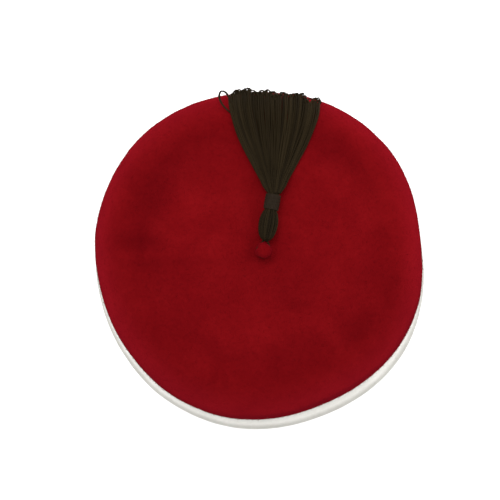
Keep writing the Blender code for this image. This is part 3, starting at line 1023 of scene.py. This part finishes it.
def skirt_paths():
    """Every looped cord of the skirt, the ones that start lower in the neck lying lower."""
    draw = random.Random(31)
    spots = [neck_spot(number, LOOP_COUNT) for number in range(LOOP_COUNT)]
    spots.sort()
    paths, tones = [], []
    for rank, spot in enumerate(spots):
        side = 2.0 * (rank + 0.5) / LOOP_COUNT - 1.0 + draw.uniform(-0.014, 0.014)
        side = max(-0.97, min(0.97, side))
        lift = 0.0018 * (spot[1] / NECK_RADIUS * 0.5 + 0.5) + draw.uniform(0.0, 0.0004)
        length = SKIRT_LENGTH + fringe_end(side) + draw.uniform(-0.0018, 0.0006)
        length += TUFT_REACH * noise.noise(Vector((side * 9.0, 0.0, 2.5)))
        size = draw.uniform(0.0014, 0.0030)
        paths.append(looped_cord(spot, side, length, lift, size, draw.uniform(-1.1, 0.8), draw))
        tones.append(draw.uniform(0.2, 0.8))
    for tone in (0.3, 0.6):
        paths.append(stray_cord(draw))
        tones.append(tone)
    return paths, tones


def head_surface(along, angle, extra=0.0):
    """A point on the head's or neck's skin."""
    spots = between([(row.along, row.radius) for row in HEAD_ROWS], 6)
    shares = [spot[0] for spot in spots]
    radius = HEAD_RADIUS * float(np.interp(along, shares, [spot[1] for spot in spots])) + extra
    centre = tassel_axis(TASSEL_START + along * HEAD_LENGTH)
    side = Matrix.Rotation(TASSEL_TURN, 3, "Z") @ Vector((1.0, 0.0, 0.0))
    return centre + side * (radius * math.cos(angle)) + Vector((0.0, 0.0, radius * math.sin(angle)))


def head_paths():
    """Cords over the head, from its tip to the bound neck."""
    draw = random.Random(5)
    paths, tones = [], []
    for number in range(HEAD_CORDS):
        angle = 2 * math.pi * (number + draw.uniform(-0.2, 0.2)) / HEAD_CORDS
        drift = draw.uniform(-0.10, 0.10)
        path = []
        for n in range(25):
            along = -0.02 + 1.60 * n / 24
            path.append(head_surface(along, angle + drift * math.sin(math.pi * n / 24), -CORD_RADIUS))
        paths.append(path)
        tones.append(draw.uniform(0.1, 0.9))
    return paths, tones


def make_tassel(material):
    """The cords of the skirt in a few pieces, and the head with the cords that cover it."""
    tree = twisted_cord_tree(material)
    paths, tones = skirt_paths()
    pieces = []
    for number in range(SKIRT_PIECES):
        part = slice(number, None, SKIRT_PIECES)
        source = path_mesh("skirt_paths", paths[part], tones[part])
        name = f"skirt_cords_{number + 1}"
        made = grown_mesh(name, source, tree)
        pieces.append(hat_object(name, made, material, "black_cord", "tassel"))
    paths, tones = head_paths()
    made = grown_mesh("head_cords", path_mesh("head_paths", paths, tones), tree, Step=0.0008)
    pieces.append(hat_object("head_cords", made, material, "black_cord", "tassel"))
    rings = []
    for n in range(30):
        along = -0.02 + 1.58 * n / 29
        rings.append([head_surface(along, a, -CORD_RADIUS * 1.6) for a in turn_angles(28)])
    ends = (head_surface(-0.04, 0, -HEAD_RADIUS * 0.13), tassel_axis(TASSEL_START + HEAD_LENGTH * 1.57))
    core = grid_mesh("head_core", rings, poles=ends)
    float_attribute(core, "tone", [0.2] * len(core.vertices))
    pieces.append(hat_object("head_core", core, material, "black_cord", "tassel"))
    return pieces


def make_binding(material):
    """Thread wound side by side round the neck."""
    side = Matrix.Rotation(TASSEL_TURN, 3, "Z") @ Vector((1.0, 0.0, 0.0))
    turns = 14
    reach = NECK_RADIUS + THREAD_RADIUS
    draw = random.Random(3)
    path = []
    for n in range(turns * 24 + 1):
        share = n / (turns * 24)
        along = TASSEL_START + HEAD_LENGTH + NECK_LENGTH * (0.06 + 0.86 * share)
        angle = 2 * math.pi * turns * share
        wobble = 0.00008 * noise.noise(Vector((n * 0.11, 0.0, 4.0)))
        radius = reach + wobble + 0.00012 * math.sin(math.pi * share)
        up = Vector((0.0, 0.0, radius * math.sin(angle)))
        path.append(tassel_axis(along) + side * (radius * math.cos(angle)) + up)
    source = path_mesh("binding_path", [path], [draw.uniform(0.4, 0.6)])
    made = grown_mesh(
        "wound_thread", source, twisted_cord_tree(material), Radius=THREAD_RADIUS, Pitch=0.0016, Step=0.0005
    )
    return hat_object("wound_thread", made, material, "binding_thread", "neck_binding")


def make_tie(material):
    """The cord that ties the head to the stalk."""
    waist = crown_height(0.0, 0.0) + STALK_HEIGHT * 0.42 - DIMPLE_DEPTH * 0.5
    round_waist = STALK_WAIST + TIE_RADIUS
    tip = tassel_axis(TASSEL_START + HEAD_LENGTH * 0.03)
    side = Matrix.Rotation(TASSEL_TURN, 3, "Z") @ Vector((1.0, 0.0, 0.0))
    sweep = math.radians(245)
    start = math.pi / 2 + TASSEL_TURN + (2 * math.pi - sweep) / 2
    rows = [tuple(tip - side * TIE_RADIUS * 0.9)]
    for n in range(9):
        a = start + sweep * n / 8
        rows.append((round_waist * math.cos(a), round_waist * math.sin(a), waist))
    rows.append(tuple(tip + side * TIE_RADIUS * 0.9))
    source = path_mesh("tie_path", [between(rows, 8)], [0.5])
    made = grown_mesh(
        "tie_cord", source, twisted_cord_tree(material), Radius=TIE_RADIUS, Pitch=0.0034, Step=0.0005, Sides=7
    )
    return hat_object("tie_cord", made, material, "black_cord", "tassel_loop")


# Floor, light and camera


def make_stage():
    mesh = bpy.data.meshes.new("floor")
    reach = 6.0
    corners = [(-reach, -reach, 0.0), (reach, -reach, 0.0), (reach, reach, 0.0), (-reach, reach, 0.0)]
    mesh.from_pydata(corners, [], [(0, 1, 2, 3)])
    material = bpy.data.materials.new("pale_floor")
    material.use_nodes = True
    shader = material.node_tree.nodes["Principled BSDF"]
    shader.inputs["Base Color"].default_value = (0.90, 0.90, 0.90, 1.0)
    shader.inputs["Roughness"].default_value = 0.9
    shader.inputs["Emission Color"].default_value = (1.0, 1.0, 1.0, 1.0)
    shader.inputs["Emission Strength"].default_value = 0.18
    mesh.materials.append(material)
    floor = bpy.data.objects.new("floor", mesh)
    bpy.context.scene.collection.objects.link(floor)


def area_light(name, place, aim, size, power):
    data = bpy.data.lights.new(name, "AREA")
    data.shape = "DISK"
    data.size = size
    data.energy = power
    lamp = bpy.data.objects.new(name, data)
    lamp.location = place
    lamp.rotation_euler = (Vector(aim) - Vector(place)).to_track_quat("-Z", "Y").to_euler()
    bpy.context.scene.collection.objects.link(lamp)


def light_scene():
    """An even white tent, with a soft light overhead and a weaker one on the right."""
    world = bpy.data.worlds.new("studio")
    world.use_nodes = True
    world.node_tree.nodes["Background"].inputs["Color"].default_value = (1.0, 1.0, 1.0, 1.0)
    world.node_tree.nodes["Background"].inputs["Strength"].default_value = 1.0
    bpy.context.scene.world = world
    area_light("key", (-0.25, 0.45, 1.8), (0.0, 0.0, 0.05), 1.3, 27.5)
    area_light("fill", (1.4, 0.4, 1.0), (0.0, 0.0, 0.05), 1.2, 10.0)
    bpy.context.scene.view_settings.view_transform = "Standard"


def place_camera():
    data = bpy.data.cameras.new("photo_camera")
    data.sensor_width = 36.0
    data.lens = FOCAL_PIXELS / FRAME_PIXELS * data.sensor_width
    camera = bpy.data.objects.new("photo_camera", data)
    back = Vector((0.0, -math.sin(CAMERA_TILT), math.cos(CAMERA_TILT)))
    camera.location = CAMERA_AIM + back * CAMERA_DISTANCE
    camera.rotation_euler = (-back).to_track_quat("-Z", "Y").to_euler()
    bpy.context.scene.collection.objects.link(camera)
    bpy.context.scene.camera = camera


def main():
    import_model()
    red_felt = felt_material(
        "red_felt_look",
        (0.082, 0.0013, 0.0019),
        (0.102, 0.0018, 0.0025),
        (0.126, 0.0026, 0.0035),
        # Tint of painted light, then tint of painted shade
        (1.25, 1.30, 1.30),
        (0.50, 0.40, 0.48),
        0.20,
        (0.60, 0.018, 0.045),
    )
    white_felt = felt_material(
        "white_felt_look",
        (0.66, 0.645, 0.60),
        (0.75, 0.74, 0.695),
        (0.82, 0.81, 0.77),
        # Tint of painted light, then tint of painted shade
        (1.1, 1.1, 1.1),
        (0.58, 0.58, 0.56),
        0.25,
        (1.0, 1.0, 1.0),
    )
    # In the naps' finishes the third and fourth colours are the tints of painted light and painted shade
    red_nap = fibre_material(
        "red_nap_look", (0.09, 0.0015, 0.003), (0.15, 0.004, 0.007), (1.25, 1.30, 1.30), (0.56, 0.46, 0.54), 0.9
    )
    white_nap = fibre_material(
        "white_nap_look", (0.68, 0.665, 0.62), (0.82, 0.81, 0.77), (1.1, 1.1, 1.1), (0.58, 0.58, 0.56), 0.9
    )
    black_cord = cord_material(
        "black_cord_look", (0.0070, 0.0046, 0.0020), (0.0125, 0.0084, 0.0034), (0.022, 0.015, 0.0065), 0.7, 0.04
    )
    thread = cord_material(
        "binding_thread_look", (0.013, 0.0085, 0.0055), (0.024, 0.0165, 0.0105), (0.040, 0.028, 0.018), 0.6, 0.05
    )
    _, outer = make_crown(red_felt)
    _, band = make_band(white_felt)
    make_band_stitches(white_nap)
    make_tassel(black_cord)
    make_binding(thread)
    make_tie(black_cord)
    make_crown_nap(outer, red_nap)
    make_band_nap(band, white_nap)
    make_stage()
    light_scene()
    place_camera()


main()
